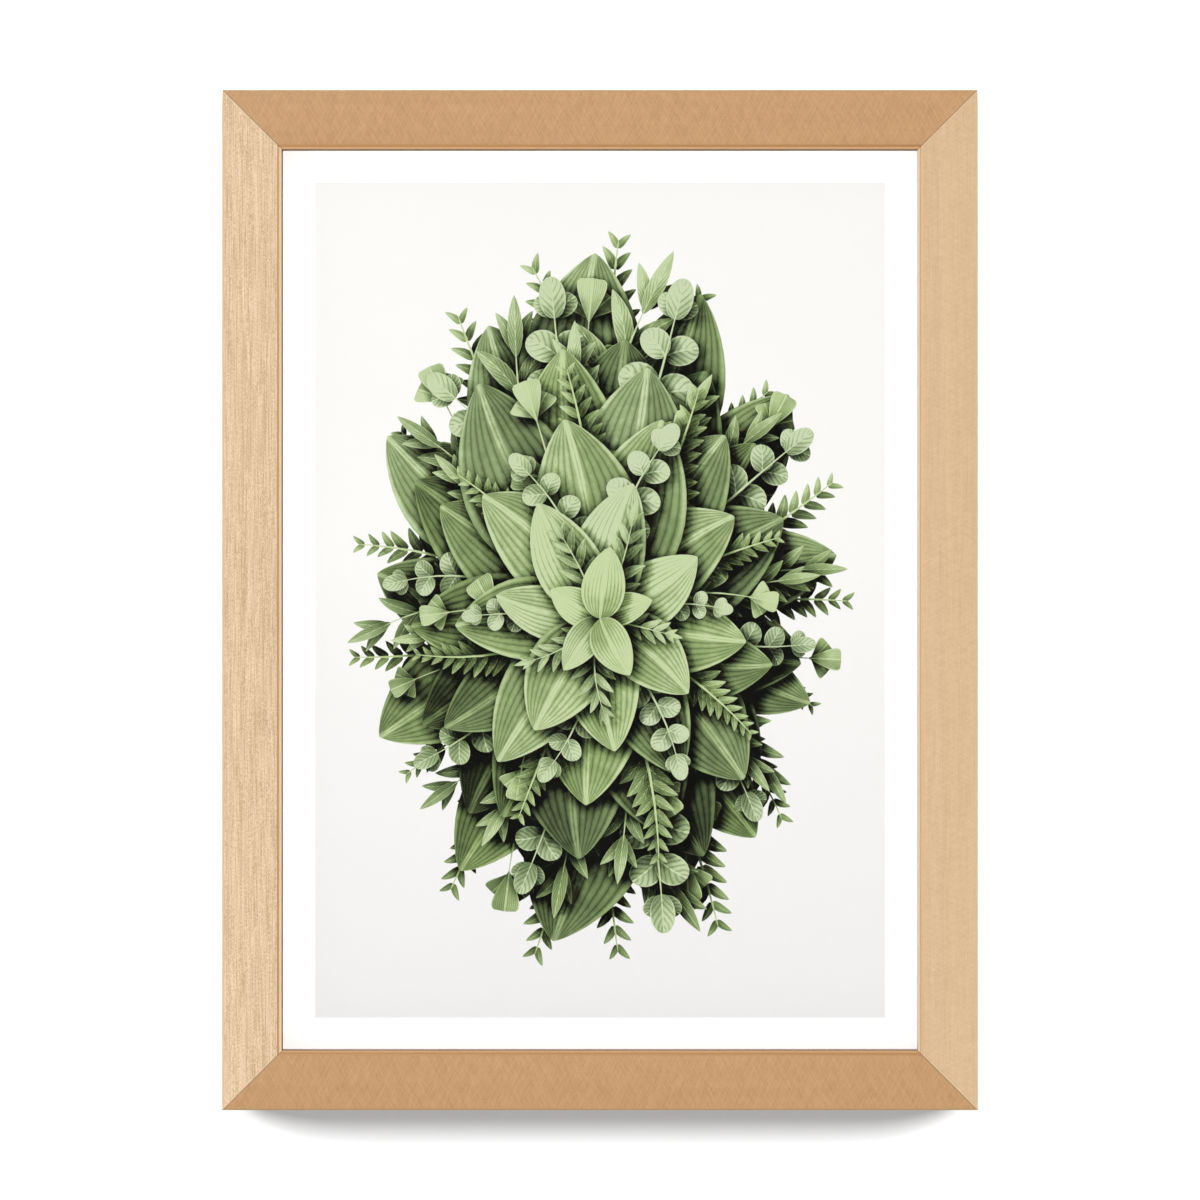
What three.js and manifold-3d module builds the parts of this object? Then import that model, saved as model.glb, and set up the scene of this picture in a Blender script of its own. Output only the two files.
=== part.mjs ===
import * as THREE from "three";
import { mergeVertices } from "three/addons/utils/BufferGeometryUtils.js";
import Module from "manifold-3d";

// A wooden picture frame with a printed sheet under glass, hung from a sawtooth plate.
// Millimetres, +Z up. The picture faces -Y and the wall is on the +Y side.
// The origin is the middle notch of the hanger plate, where the wall nail carries the frame.

// Driving dimensions of the frame
const sightWidth = 204; // the clear opening, seen from the front
const sightHeight = 289;
const mouldingWidth = 19.25;
const mouldingDepth = 14;
const lipDepth = 4; // wood in front of the glass
const rabbetWidth = 4.5; // how far the lip reaches over the glass
const gap = 0.3; // clearance that separate pieces keep to each other

// The moulding's front edge details
const outerEase = 0.6; // radius on the outer front edge
const backEase = 0.6; // chamfer on the outer back edge
const beadWidth = 1; // the small round bead at the sight edge
const beadDrop = 0.05; // how far the bead's crown lies below the face
const beadRise = 0.35; // from the bead's foot to its crown
const grooveWidth = 0.65; // the scribed line beside the bead
const grooveDepth = 0.35;

// What lies in the rabbet, from front to back
const paneThickness = 2;
const sheetThickness = 0.4;
const cardThickness = 3;
const boardThickness = 3;
const edgePlay = 0.5; // between the pane, card or board and the rabbet wall
const sheetWidth = 210;
const sheetHeight = 297;

// Steel V nails across the back of each mitre
const vLeg = 7;
const vThickness = 0.8;
const vDepth = 8;

// Turn buttons and their screws
const buttonThickness = 1;
const buttonRootRadius = 4.5;
const buttonTipRadius = 2.6;
const buttonReach = 14; // pivot to tip
const pivotSetback = 7; // pivot to rabbet wall
const pivotHeight = 85; // above and below the middle of the frame
const screwHeadRadius = 3;
const screwHeadHeight = 1.7;
const screwRadius = 1.4;
const screwDepth = 8; // length of shank in the wood
const recessLength = 3.4; // the cross recess in the head
const recessWidth = 0.7;
const recessDepth = 1;
const runningGap = 0.15; // between a button and its screw's shank

// Sawtooth hanger and its pins
const hangerLength = 44;
const hangerHeight = 8;
const hangerThickness = 0.9;
const hangerRise = 2.2; // how far its middle stands off the feet
const footLength = 8.5;
const rampLength = 2.5;
const notchPitch = 2.2;
const notchDepth = 1.3;
const notchCount = 9;
const pinHeadRadius = 1.8;
const pinHeadHeight = 0.7;
const pinRadius = 0.6;
const pinDepth = 8;

// Soft pads at the foot of the back
const bumperRadius = 5;
const bumperThickness = 3.4;
const bumperEase = 1;
const bumperSpacing = 190;

// Sizes that follow
const halfWidth = sightWidth / 2 + mouldingWidth;
const halfHeight = sightHeight / 2 + mouldingWidth;
const pocketWidth = sightWidth + 2 * rabbetWidth;
const pocketHeight = sightHeight + 2 * rabbetWidth;
const backWidth = mouldingWidth - rabbetWidth; // the moulding's back face
const backMiddle = backWidth / 2; // from the outer edge to the middle of that face
const paneFront = lipDepth + gap;
const sheetFront = paneFront + paneThickness + gap;
const cardFront = sheetFront + sheetThickness + gap;
const boardFront = cardFront + cardThickness + gap;
const hardwareFront = mouldingDepth + gap; // where metal and pads lie on the wood
const vInset = backMiddle - vLeg / 4; // from both outer edges to the corner of a V nail
const vFront = mouldingDepth - gap - vDepth;
const pivotInset = backWidth - pivotSetback; // from a stile's outer edge to its buttons' pivots
const hangerMiddle = halfHeight - backMiddle; // height of the hanger above the picture's middle
const pinX = (hangerLength - footLength) / 2;
const notchTop = hangerMiddle - hangerHeight / 2 + notchDepth;

const wasm = await Module();
wasm.setup();

// A closed geometry as a solid that can be cut
function solid(geometry) {
  const bare = geometry.index ? geometry.toNonIndexed() : geometry.clone();
  bare.deleteAttribute("normal");
  bare.deleteAttribute("uv");
  const merged = mergeVertices(bare, 1e-4);
  return new wasm.Manifold(
    new wasm.Mesh({
      numProp: 3,
      vertProperties: merged.attributes.position.array,
      triVerts: new Uint32Array(merged.index.array),
    }),
  );
}

// Cuts each tool geometry out of the blank
function cut(blank, tools) {
  let body = solid(blank);
  for (const tool of tools) body = body.subtract(solid(tool));
  const mesh = body.getMesh();
  const geometry = new THREE.BufferGeometry();
  geometry.setAttribute("position", new THREE.Float32BufferAttribute(mesh.vertProperties, 3));
  geometry.setIndex([...mesh.triVerts]);
  const facets = geometry.toNonIndexed();
  facets.computeVertexNormals();
  return facets;
}

function finish(colour, roughness, metalness = 0) {
  return () => new THREE.MeshStandardMaterial({ color: colour, roughness, metalness });
}
const stileWood = finish(0xe0c29b, 0.6);
const railWood = finish(0xc99f74, 0.6);
const clearPane = () =>
  new THREE.MeshStandardMaterial({ color: 0xf4f8f8, roughness: 0.05, transparent: true, opacity: 0.2 });
const printPaper = finish(0xf6f6f4, 0.8);
const greyCard = finish(0xb8a88c, 0.9);
const hardboard = finish(0x8a6542, 0.75);
const steel = finish(0xb9bcc0, 0.35, 1);
const brassPlate = finish(0xc9a862, 0.4, 1);
const softPad = finish(0xd8d5cc, 0.85);

function piece(name, geometry, material) {
  const mesh = new THREE.Mesh(geometry, material());
  mesh.name = name;
  return mesh;
}

// An outline drawn in x and z, given a thickness along +Y from y = front
function plate(shape, front, thickness, curveSegments = 12) {
  const geometry = new THREE.ExtrudeGeometry(shape, {
    depth: thickness,
    bevelEnabled: false,
    curveSegments,
  });
  geometry.rotateX(Math.PI / 2); // x, y of the outline to x, z, and its thickness to -Y
  geometry.translate(0, front + thickness, 0);
  return geometry;
}

// A rectangular layer in the rabbet, centred on the frame
function layer(width, height, front, thickness) {
  const geometry = new THREE.BoxGeometry(width, thickness, height);
  geometry.translate(0, front + thickness / 2, 0);
  return geometry;
}

// A profile of radius and height turned about an axis that points out of the back, +Y
function turned(profile, segments = 24) {
  const points = profile.map(([radius, height]) => new THREE.Vector2(radius, height));
  return new THREE.LatheGeometry(points, segments);
}

// The moulding's section: x runs inwards from the outer edge, y from the front face to the back
function mouldingSection() {
  const beadRadius = beadWidth / 2;
  const beadStart = mouldingWidth - beadWidth;
  const beadFoot = beadDrop + beadRise;
  const section = new THREE.Shape();
  section.moveTo(0, outerEase);
  section.absarc(outerEase, outerEase, outerEase, Math.PI, 1.5 * Math.PI, false);
  section.lineTo(beadStart - grooveWidth, 0);
  section.lineTo(beadStart - grooveWidth / 2, grooveDepth);
  section.lineTo(beadStart, beadFoot);
  section.absellipse(mouldingWidth - beadRadius, beadFoot, beadRadius, beadRise, Math.PI, 0, false);
  section.lineTo(mouldingWidth, lipDepth);
  section.lineTo(backWidth, lipDepth);
  section.lineTo(backWidth, mouldingDepth);
  section.lineTo(backEase, mouldingDepth);
  section.lineTo(0, mouldingDepth - backEase);
  section.closePath();
  return section;
}

// A mitred length of moulding along x, its outer edge at z = outer, its outer edge 2 * halfLength long
function mouldingLength(halfLength, outer) {
  const geometry = new THREE.ExtrudeGeometry(mouldingSection(), {
    depth: 2,
    bevelEnabled: false,
    curveSegments: 8,
  });
  const ends = geometry.attributes.position;
  for (let i = 0; i < ends.count; i++) {
    const inward = ends.getX(i);
    const depth = ends.getY(i);
    const side = ends.getZ(i) - 1; // -1 at one end and 1 at the other
    ends.setXYZ(i, side * (halfLength - inward - gap / Math.SQRT2), depth, outer - inward);
  }
  return geometry;
}

// The angle of a V nail, which stands in the back of a mitre with one leg in each length
function vOutline(x, z, right, up, grow) {
  const half = vThickness / 2 + grow;
  const end = vLeg + grow;
  const outline = new THREE.Shape();
  outline.moveTo(half, half);
  outline.lineTo(-end, half);
  outline.lineTo(-end, -half);
  outline.lineTo(-half, -half);
  outline.lineTo(-half, -end);
  outline.lineTo(half, -end);
  outline.closePath();
  const points = outline.getPoints().map((p) => new THREE.Vector2(x + right * p.x, z + up * p.y));
  return new THREE.Shape(points);
}

// The slots for the V nails at both ends of a length
function vSlots(halfLength, outer) {
  return [-1, 1].map((side) =>
    plate(
      vOutline(side * (halfLength - vInset), outer - vInset, side, 1, gap),
      vFront - gap,
      vDepth + 3 * gap,
    ),
  );
}

// A round hole in the back of a length, bored from behind at x
function pilotHole(x, z, radius, depth) {
  const bore = new THREE.CylinderGeometry(radius + gap, radius + gap, depth + 2 * gap, 16);
  bore.translate(x, mouldingDepth - depth / 2, z);
  return bore;
}

// One side of the frame, made as the top and turned about the middle of the picture
function frameSide(name, halfLength, outer, turn, material, holes) {
  const blank = mouldingLength(halfLength, outer);
  const side = piece(name, cut(blank, [...vSlots(halfLength, outer), ...holes]), material);
  side.rotation.y = turn;
  return side;
}

function frameSides() {
  const buttonHoles = () =>
    [-1, 1].map((end) =>
      pilotHole(end * pivotHeight, halfWidth - pivotInset, screwRadius, screwDepth),
    );
  const pinHoles = [-1, 1].map((end) => pilotHole(end * pinX, hangerMiddle, pinRadius, pinDepth));
  return [
    frameSide("rail_top", halfWidth, halfHeight, 0, railWood, pinHoles),
    frameSide("rail_bottom", halfWidth, halfHeight, Math.PI, railWood, []),
    frameSide("stile_right", halfHeight, halfWidth, Math.PI / 2, stileWood, buttonHoles()),
    frameSide("stile_left", halfHeight, halfWidth, -Math.PI / 2, stileWood, buttonHoles()),
  ];
}

function cornerFasteners() {
  const corners = [
    ["top_left", -1, 1],
    ["top_right", 1, 1],
    ["bottom_left", -1, -1],
    ["bottom_right", 1, -1],
  ];
  return corners.map(([name, right, up]) => {
    const x = right * (halfWidth - vInset);
    const z = up * (halfHeight - vInset);
    const nail = plate(vOutline(x, z, right, up, 0), vFront, vDepth);
    return piece("corner_nail_" + name, nail, steel);
  });
}

function rabbetLayers() {
  const paneWidth = pocketWidth - 2 * edgePlay;
  const paneHeight = pocketHeight - 2 * edgePlay;
  return [
    piece("glazing", layer(paneWidth, paneHeight, paneFront, paneThickness), clearPane),
    piece("print_sheet", layer(sheetWidth, sheetHeight, sheetFront, sheetThickness), printPaper),
    piece("filler_card", layer(paneWidth, paneHeight, cardFront, cardThickness), greyCard),
    piece("backing_board", layer(paneWidth, paneHeight, boardFront, boardThickness), hardboard),
  ];
}

// A turn button, its pivot at the origin and its tip towards +x
function buttonPlate() {
  const tipX = buttonReach - buttonTipRadius;
  const lean = Math.asin((buttonRootRadius - buttonTipRadius) / tipX);
  const outline = new THREE.Shape();
  outline.absarc(0, 0, buttonRootRadius, Math.PI / 2 - lean, 1.5 * Math.PI + lean, false);
  outline.absarc(tipX, 0, buttonTipRadius, -Math.PI / 2 + lean, Math.PI / 2 - lean, false);
  const bore = new THREE.Path();
  bore.absarc(0, 0, screwRadius + runningGap, 0, 2 * Math.PI, true);
  outline.holes.push(bore);
  return plate(outline, hardwareFront, buttonThickness);
}

// A domed screw with a cross recess, its head behind the button
function buttonScrew() {
  const headFront = hardwareFront + buttonThickness + gap;
  const headBack = headFront + screwHeadHeight;
  const tip = mouldingDepth - screwDepth;
  const blank = turned([
    [0, tip],
    [screwRadius, tip + 2 * screwRadius],
    [screwRadius, headFront],
    [screwHeadRadius, headFront],
    [screwHeadRadius, headFront + screwHeadHeight * 0.4],
    [screwHeadRadius * 0.86, headFront + screwHeadHeight * 0.75],
    [screwHeadRadius * 0.5, headFront + screwHeadHeight * 0.95],
    [0, headBack],
  ]);
  const slots = [0, Math.PI / 2].map((turn) => {
    const slot = new THREE.BoxGeometry(recessLength, 2 * recessDepth, recessWidth);
    slot.rotateY(turn);
    slot.translate(0, headBack, 0);
    return slot;
  });
  return cut(blank, slots);
}

// The four buttons and their screws, each in a group set at its pivot
function turnButtons() {
  const places = [
    ["left_upper", -1, 1],
    ["left_lower", -1, -1],
    ["right_upper", 1, 1],
    ["right_lower", 1, -1],
  ];
  return places.map(([name, right, up]) => {
    const pivot = new THREE.Group();
    pivot.position.set(right * (halfWidth - pivotInset), 0, up * pivotHeight);
    const button = piece("turn_button_" + name, buttonPlate(), steel);
    button.rotation.y = right > 0 ? Math.PI : 0;
    const screw = piece("button_screw_" + name, buttonScrew(), steel);
    pivot.add(button, screw);
    return pivot;
  });
}

// The hanger's strip seen from above: two feet on the wood and a raised middle
function hangerStrip() {
  const half = hangerLength / 2;
  const foot = half - footLength;
  const shoulder = foot - rampLength;
  const near = hardwareFront;
  const far = near + hangerRise;
  const rightSide = [
    [shoulder, far],
    [foot, near],
    [half, near],
    [half, near + hangerThickness],
    [foot + hangerThickness / 2, near + hangerThickness],
    [shoulder + hangerThickness / 2, far + hangerThickness],
  ];
  const leftSide = rightSide.map(([x, y]) => [-x, y]).reverse();
  const outline = new THREE.Shape([...rightSide, ...leftSide].map(([x, y]) => new THREE.Vector2(x, y)));
  const strip = new THREE.ExtrudeGeometry(outline, { depth: hangerHeight, bevelEnabled: false });
  strip.translate(0, 0, hangerMiddle - hangerHeight / 2);
  return strip;
}

function hanger() {
  const notches = [];
  for (let i = 0; i < notchCount; i++) {
    const x = (i - (notchCount - 1) / 2) * notchPitch;
    const bottom = hangerMiddle - hangerHeight / 2 - gap;
    const half = (notchPitch / 2) * 0.9;
    const outline = new THREE.Shape([
      new THREE.Vector2(x - half, bottom),
      new THREE.Vector2(x + half, bottom),
      new THREE.Vector2(x, notchTop),
    ]);
    notches.push(plate(outline, mouldingDepth, hangerRise + hangerThickness + 2 * gap));
  }
  const bores = [-1, 1].map((end) => {
    const bore = new THREE.CylinderGeometry(pinRadius + gap, pinRadius + gap, 4 * hangerThickness, 16);
    bore.translate(end * pinX, hardwareFront, hangerMiddle);
    return bore;
  });
  return piece("sawtooth_hanger", cut(hangerStrip(), [...notches, ...bores]), brassPlate);
}

function hangerPins() {
  const headFront = hardwareFront + hangerThickness + gap;
  const headBack = headFront + pinHeadHeight;
  const tip = mouldingDepth - pinDepth;
  return [
    ["left", -1],
    ["right", 1],
  ].map(([name, end]) => {
    const shape = turned([
      [0, tip],
      [pinRadius, tip + 2 * pinRadius],
      [pinRadius, headFront],
      [pinHeadRadius, headFront],
      [pinHeadRadius * 0.8, headBack],
      [0, headBack],
    ], 16);
    const pin = piece("hanger_pin_" + name, shape, steel);
    pin.position.set(end * pinX, 0, hangerMiddle);
    return pin;
  });
}

function bumpers() {
  const back = hardwareFront + bumperThickness;
  return [
    ["left", -1],
    ["right", 1],
  ].map(([name, end]) => {
    const shape = turned([
      [0, hardwareFront],
      [bumperRadius, hardwareFront],
      [bumperRadius, back - bumperEase],
      [bumperRadius - bumperEase * 0.3, back - bumperEase * 0.3],
      [bumperRadius - bumperEase, back],
      [0, back],
    ], 32);
    const pad = piece("bumper_" + name, shape, softPad);
    pad.position.set((end * bumperSpacing) / 2, 0, -(halfHeight - backMiddle));
    return pad;
  });
}

// Everything is placed about the middle of the frame's front, then moved to the hanging point
const centred = new THREE.Group();
centred.add(
  ...frameSides(),
  ...cornerFasteners(),
  ...rabbetLayers(),
  ...turnButtons(),
  hanger(),
  ...hangerPins(),
  ...bumpers(),
);
centred.position.set(0, -(hardwareFront + hangerRise + hangerThickness / 2), -notchTop);

const framedPrint = new THREE.Group();
framedPrint.add(centred);
export default framedPrint;
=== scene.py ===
import math
import random
from types import SimpleNamespace

import bmesh
import bpy
import numpy
from mathutils import Matrix, Vector
from mathutils.geometry import delaunay_2d_cdt


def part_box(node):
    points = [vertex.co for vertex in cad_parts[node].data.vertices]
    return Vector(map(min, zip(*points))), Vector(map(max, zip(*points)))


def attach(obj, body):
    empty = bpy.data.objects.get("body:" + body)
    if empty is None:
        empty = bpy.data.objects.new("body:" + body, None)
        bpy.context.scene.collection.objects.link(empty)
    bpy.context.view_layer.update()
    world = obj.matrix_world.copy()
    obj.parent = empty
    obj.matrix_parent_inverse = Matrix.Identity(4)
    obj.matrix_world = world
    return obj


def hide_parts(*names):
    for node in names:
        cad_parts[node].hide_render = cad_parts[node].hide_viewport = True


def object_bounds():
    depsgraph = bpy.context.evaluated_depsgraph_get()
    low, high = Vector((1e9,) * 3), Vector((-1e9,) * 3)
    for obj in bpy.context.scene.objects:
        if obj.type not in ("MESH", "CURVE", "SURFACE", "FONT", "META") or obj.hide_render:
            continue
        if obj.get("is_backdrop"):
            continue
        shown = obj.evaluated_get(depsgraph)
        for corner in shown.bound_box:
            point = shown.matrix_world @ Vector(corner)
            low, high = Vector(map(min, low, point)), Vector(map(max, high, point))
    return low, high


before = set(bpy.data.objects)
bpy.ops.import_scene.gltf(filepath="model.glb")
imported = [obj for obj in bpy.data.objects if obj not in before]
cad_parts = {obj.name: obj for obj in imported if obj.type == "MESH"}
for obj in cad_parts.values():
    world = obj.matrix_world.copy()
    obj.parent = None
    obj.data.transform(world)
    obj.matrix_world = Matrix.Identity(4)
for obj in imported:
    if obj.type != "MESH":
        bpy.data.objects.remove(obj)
cad_low, cad_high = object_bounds()


# The four lengths of moulding
# One flat, light wood moulding, planed with an eased outer edge, a scribed line and a small bead
# beside the glass, and a rabbet behind. Its ends are sawn at 45 degrees and glued together.
MM = 0.001
MITRE_GAP = 0.03 * MM
MITRE_ARRIS = 0.07 * MM
OUTER_EASE = 0.6 * MM
BACK_EASE = 0.6 * MM
BEAD_WIDTH = 1.0 * MM
BEAD_DROP = 0.05 * MM
BEAD_RISE = 0.35 * MM
GROOVE_WIDTH = 0.65 * MM
GROOVE_DEPTH = 0.25 * MM
LIP_DEPTH = 4 * MM
RABBET_WIDTH = 4.5 * MM

left_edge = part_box("stile_left")[0].x
right_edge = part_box("stile_right")[1].x
top_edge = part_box("rail_top")[1].z
bottom_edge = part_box("rail_bottom")[0].z
front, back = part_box("rail_top")[0].y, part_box("rail_top")[1].y
moulding_width = top_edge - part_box("rail_top")[0].z
middle = Vector(((left_edge + right_edge) / 2, front, (top_edge + bottom_edge) / 2))
half_width = (right_edge - left_edge) / 2
half_height = (top_edge - bottom_edge) / 2
back_width = moulding_width - RABBET_WIDTH


def new_object(name, data):
    made = bpy.data.objects.new(name, data)
    bpy.context.scene.collection.objects.link(made)
    return made


def as_object(mesh, name):
    """Makes an object of a bmesh, with its place in its mesh."""
    data = bpy.data.meshes.new(name)
    mesh.to_mesh(data)
    mesh.free()
    return new_object(name, data)


def finished(mesh, name, node, material, body="picture", angle=35):
    """Makes a bmesh the piece that stands for a node, smooth except at its edges."""
    bmesh.ops.recalc_face_normals(mesh, faces=mesh.faces[:])
    piece = as_object(mesh, name)
    piece.data.shade_smooth()
    piece.data.set_sharp_from_angle(angle=math.radians(angle))
    piece.data.materials.append(material)
    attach(piece, body)
    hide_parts(node)
    return piece


def bevelled(mesh, edges, offset, segments):
    bmesh.ops.bevel(
        mesh, geom=list(edges), offset=offset, segments=segments, profile=0.5,
        affect="EDGES", clamp_overlap=True, material=-1,
    )


def pulled(mesh, faces, way):
    """Draws flat faces out into a solid, and gives the corners of its far end."""
    grown = bmesh.ops.extrude_face_region(mesh, geom=faces)["geom"]
    moved = [v for v in grown if isinstance(v, bmesh.types.BMVert)]
    bmesh.ops.translate(mesh, verts=moved, vec=way)
    return moved


def edges_along(mesh, outer, inward, depth, reach=0.01 * MM):
    """The lengthwise edges of a length that stand at this distance in and back."""
    found = []
    for edge in mesh.edges:
        a, b = (v.co for v in edge.verts)
        level = abs(a.z - b.z) < reach and abs(a.y - b.y) < reach
        placed = abs(outer - a.z - inward) < reach and abs(a.y - depth) < reach
        if level and placed:
            found.append(edge)
    return found


def moulding_length(half_length, outer):
    """A mitred length drawn as the top one: along x, its outer edge at z = outer, its face at y = 0."""
    bead_start = moulding_width - BEAD_WIDTH
    depth = back - front
    section = [
        (0, 0), (bead_start - GROOVE_WIDTH, 0), (bead_start - GROOVE_WIDTH / 2, GROOVE_DEPTH),
        (bead_start, BEAD_DROP + BEAD_RISE), (bead_start, BEAD_DROP), (moulding_width, BEAD_DROP),
        (moulding_width, LIP_DEPTH), (back_width, LIP_DEPTH), (back_width, depth), (0, depth),
    ]
    mesh = bmesh.new()
    start = mesh.faces.new([mesh.verts.new((-half_length, y, outer - u)) for u, y in section])
    pulled(mesh, [start], (2 * half_length, 0, 0))
    bevelled(mesh, edges_along(mesh, outer, 0, 0), OUTER_EASE, 6)
    bevelled(mesh, edges_along(mesh, outer, 0, depth), BACK_EASE, 3)
    bead = [edges_along(mesh, outer, inward, BEAD_DROP) for inward in (bead_start, moulding_width)]
    bevelled(mesh, bead[0] + bead[1], 0.9 * BEAD_RISE, 5)
    for side in (-1, 1):
        plane = Vector((side * (half_length - MITRE_GAP / math.sqrt(2)), 0, outer))
        normal = Vector((side, 0, -1))
        cut = bmesh.ops.bisect_plane(
            mesh, geom=mesh.verts[:] + mesh.edges[:] + mesh.faces[:], dist=1e-7,
            plane_co=plane, plane_no=normal, clear_outer=True,
        )["geom_cut"]
        rim = [e for e in cut if isinstance(e, bmesh.types.BMEdge)]
        bmesh.ops.holes_fill(mesh, edges=rim)
        bevelled(mesh, rim, MITRE_ARRIS, 1)
    return mesh


class Shader:
    """A node tree, with short calls that add nodes and link or set their inputs."""

    def __init__(self, tree):
        self.tree = tree
        self.tree.nodes.clear()

    def node(self, kind, *values, settings=None, **inputs):
        """A new node with its settings, and with inputs in order or by name, _ for a space."""
        made = self.tree.nodes.new(kind)
        for name, value in (settings or {}).items():
            setattr(made, name, value)
        self.feed(made, *values, **inputs)
        return made

    def feed(self, node, *values, **inputs):
        for index, value in enumerate(values):
            self.join(value, node.inputs[index])
        for name, value in inputs.items():
            self.join(value, node.inputs[name.replace("_", " ")])

    def join(self, value, socket):
        if isinstance(value, bpy.types.NodeSocket):
            self.tree.links.new(value, socket)
        else:
            socket.default_value = (*value, 1) if socket.type == "RGBA" else value

    def math(self, operation, *values):
        return self.node("ShaderNodeMath", *values, settings={"operation": operation}).outputs[0]

    def vectors(self, operation, *values):
        return self.node("ShaderNodeVectorMath", *values, settings={"operation": operation}).outputs

    def plus(self, a, b):
        return self.math("ADD", a, b)

    def minus(self, a, b):
        return self.math("SUBTRACT", a, b)

    def times(self, a, b):
        return self.math("MULTIPLY", a, b)

    def apart(self, a, b):
        return self.math("ABSOLUTE", self.minus(a, b))

    def ramp(self, value, low, high, start=0.0, end=1.0, smooth=True):
        kind = {"interpolation_type": "SMOOTHSTEP" if smooth else "LINEAR"}
        return self.node("ShaderNodeMapRange", value, low, high, start, end, settings=kind).outputs[0]

    def split(self, vector):
        return self.node("ShaderNodeSeparateXYZ", vector).outputs

    def mix(self, factor, a, b):
        """Mixes two colours."""
        made = self.node("ShaderNodeMix", factor, settings={"data_type": "RGBA"})
        self.join(a, made.inputs[6])
        self.join(b, made.inputs[7])
        return made.outputs[2]

    def blend(self, factor, a, b):
        """Mixes two shaders."""
        return self.node("ShaderNodeMixShader", factor, a.outputs[0], b.outputs[0])

    def place(self):
        """The place on the object, in its own space."""
        return self.node("ShaderNodeTexCoord").outputs["Object"]

    def moved(self, vector, scale=(1, 1, 1), turn=(0, 0, 0), shift=(0, 0, 0)):
        made = self.node("ShaderNodeMapping", Vector=vector, Scale=scale, Rotation=turn, Location=shift)
        return made.outputs[0]

    def noise(self, vector, scale, detail=2.0, roughness=0.5):
        """Soft noise with so many blotches to the metre along each axis."""
        spot = self.moved(vector, scale)
        made = self.node("ShaderNodeTexNoise", Vector=spot, Scale=1.0, Detail=detail, Roughness=roughness)
        return made.outputs["Fac"]


def new_group(name, inputs, outputs):
    """A shader group with named inputs and outputs: its tree, its inputs and its output node."""
    tree = bpy.data.node_groups.new(name, "ShaderNodeTree")
    kinds = {"vector": "NodeSocketVector", "colour": "NodeSocketColor", "value": "NodeSocketFloat"}
    for way, sockets in (("INPUT", inputs), ("OUTPUT", outputs)):
        for label, kind in sockets:
            tree.interface.new_socket(label, in_out=way, socket_type=kinds[kind])
    shader = Shader(tree)
    given = shader.node("NodeGroupInput").outputs
    return shader, given, shader.node("NodeGroupOutput")


def bare_material(name):
    material = bpy.data.materials.new(name)
    material.use_nodes = True
    return material, Shader(material.node_tree)


def new_material(name, **settings):
    """A material with a Principled shader: its tree, that shader, and the place on the object."""
    material, shader = bare_material(name)
    surface = shader.node("ShaderNodeBsdfPrincipled", **settings)
    shader.node("ShaderNodeOutputMaterial", surface.outputs[0])
    return material, shader, surface, shader.place()


def grouped(shader, name, **inputs):
    tree = {"node_tree": bpy.data.node_groups[name]}
    return shader.node("ShaderNodeGroup", settings=tree, **inputs).outputs


def coated(shader, surface, colour, roughness, height, distance, strength=0.5):
    """Gives a surface its colour and roughness over its small relief."""
    bump = shader.node("ShaderNodeBump", Height=height, Distance=distance, Strength=strength)
    shader.feed(surface, Base_Color=colour, Roughness=roughness, Normal=bump.outputs["Normal"])


GRAIN_WANDER = 3 * MM
STROKE_TURNS = (math.radians(64), math.radians(-61))
GRAIN_WARMTH = (0.87, 1.0, 1.43)  # the darker the grain, the warmer


def wood_grain_group():
    """Straight grain along z: long fine lines, short flecks, soft bands, pores and crossed strokes."""
    amounts = ("Lines", "Flecks", "Bands", "Strokes", "Pores")
    shader, given, output = new_group(
        "Wood grain",
        [("Place", "vector"), ("Pale", "colour"), ("Deep", "colour"), ("Pore", "colour")]
        + [(amount, "value") for amount in amounts],
        [("Colour", "colour"), ("Height", "value"), ("Roughness", "value")],
    )
    place = given["Place"]
    wander = shader.noise(place, (60, 60, 7))
    bent = shader.vectors("MULTIPLY_ADD", wander, (GRAIN_WANDER, GRAIN_WANDER, 0), place)[0]
    waves = [
        ("Lines", shader.noise(bent, (3300, 3300, 60), 2.0, 0.6)),
        ("Flecks", shader.noise(bent, (5200, 5200, 1700), 1.0, 0.6)),
        ("Bands", shader.noise(bent, (330, 330, 5))),
    ]
    for turn in STROKE_TURNS:
        slanted = shader.moved(place, turn=(0, turn, 0))
        waves.append(("Strokes", shader.noise(slanted, (2300, 2300, 210), 2.0, 0.6)))
    depth = 0.5
    for amount, wave in waves:
        reach = shader.times(given[amount], 4.0)
        depth = shader.math("MULTIPLY_ADD", shader.minus(wave, 0.5), reach, depth)
    depth = shader.ramp(depth, 0, 1, smooth=False)
    colour = shader.mix(depth, given["Pale"], given["Deep"])
    specks = shader.noise(place, (2700, 2700, 900), 2.0, 0.6)
    dots = shader.times(shader.ramp(specks, 0.62, 0.74), given["Pores"])
    colour = shader.mix(dots, colour, given["Pore"])
    height = shader.math("MULTIPLY_ADD", dots, -1.0, shader.times(depth, -0.6))
    roughness = shader.ramp(depth, 0, 1, 0.5, 0.62, smooth=False)
    shader.feed(output, Colour=colour, Height=height, Roughness=roughness)


wood_grain_group()

# Bands along the moulding: where each starts and ends, away from its edge or line
RIM_BAND = (0.3 * MM, 0.9 * MM)
LINE_BAND = (0.2 * MM, 0.42 * MM)
BEAD_BAND = (0.05 * MM, 0.3 * MM)
MITRE_BAND = (0.2 * MM, 0.5 * MM)
SIGHT_BAND = (0.1 * MM, 0.3 * MM)
FACE_BAND = (0.9 * MM, 1.3 * MM)
LIP_BAND = (LIP_DEPTH, LIP_DEPTH + 0.2 * MM)


def shaded(colour, factor):
    return [part * factor ** warmth for part, warmth in zip(colour, GRAIN_WARMTH)]


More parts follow.
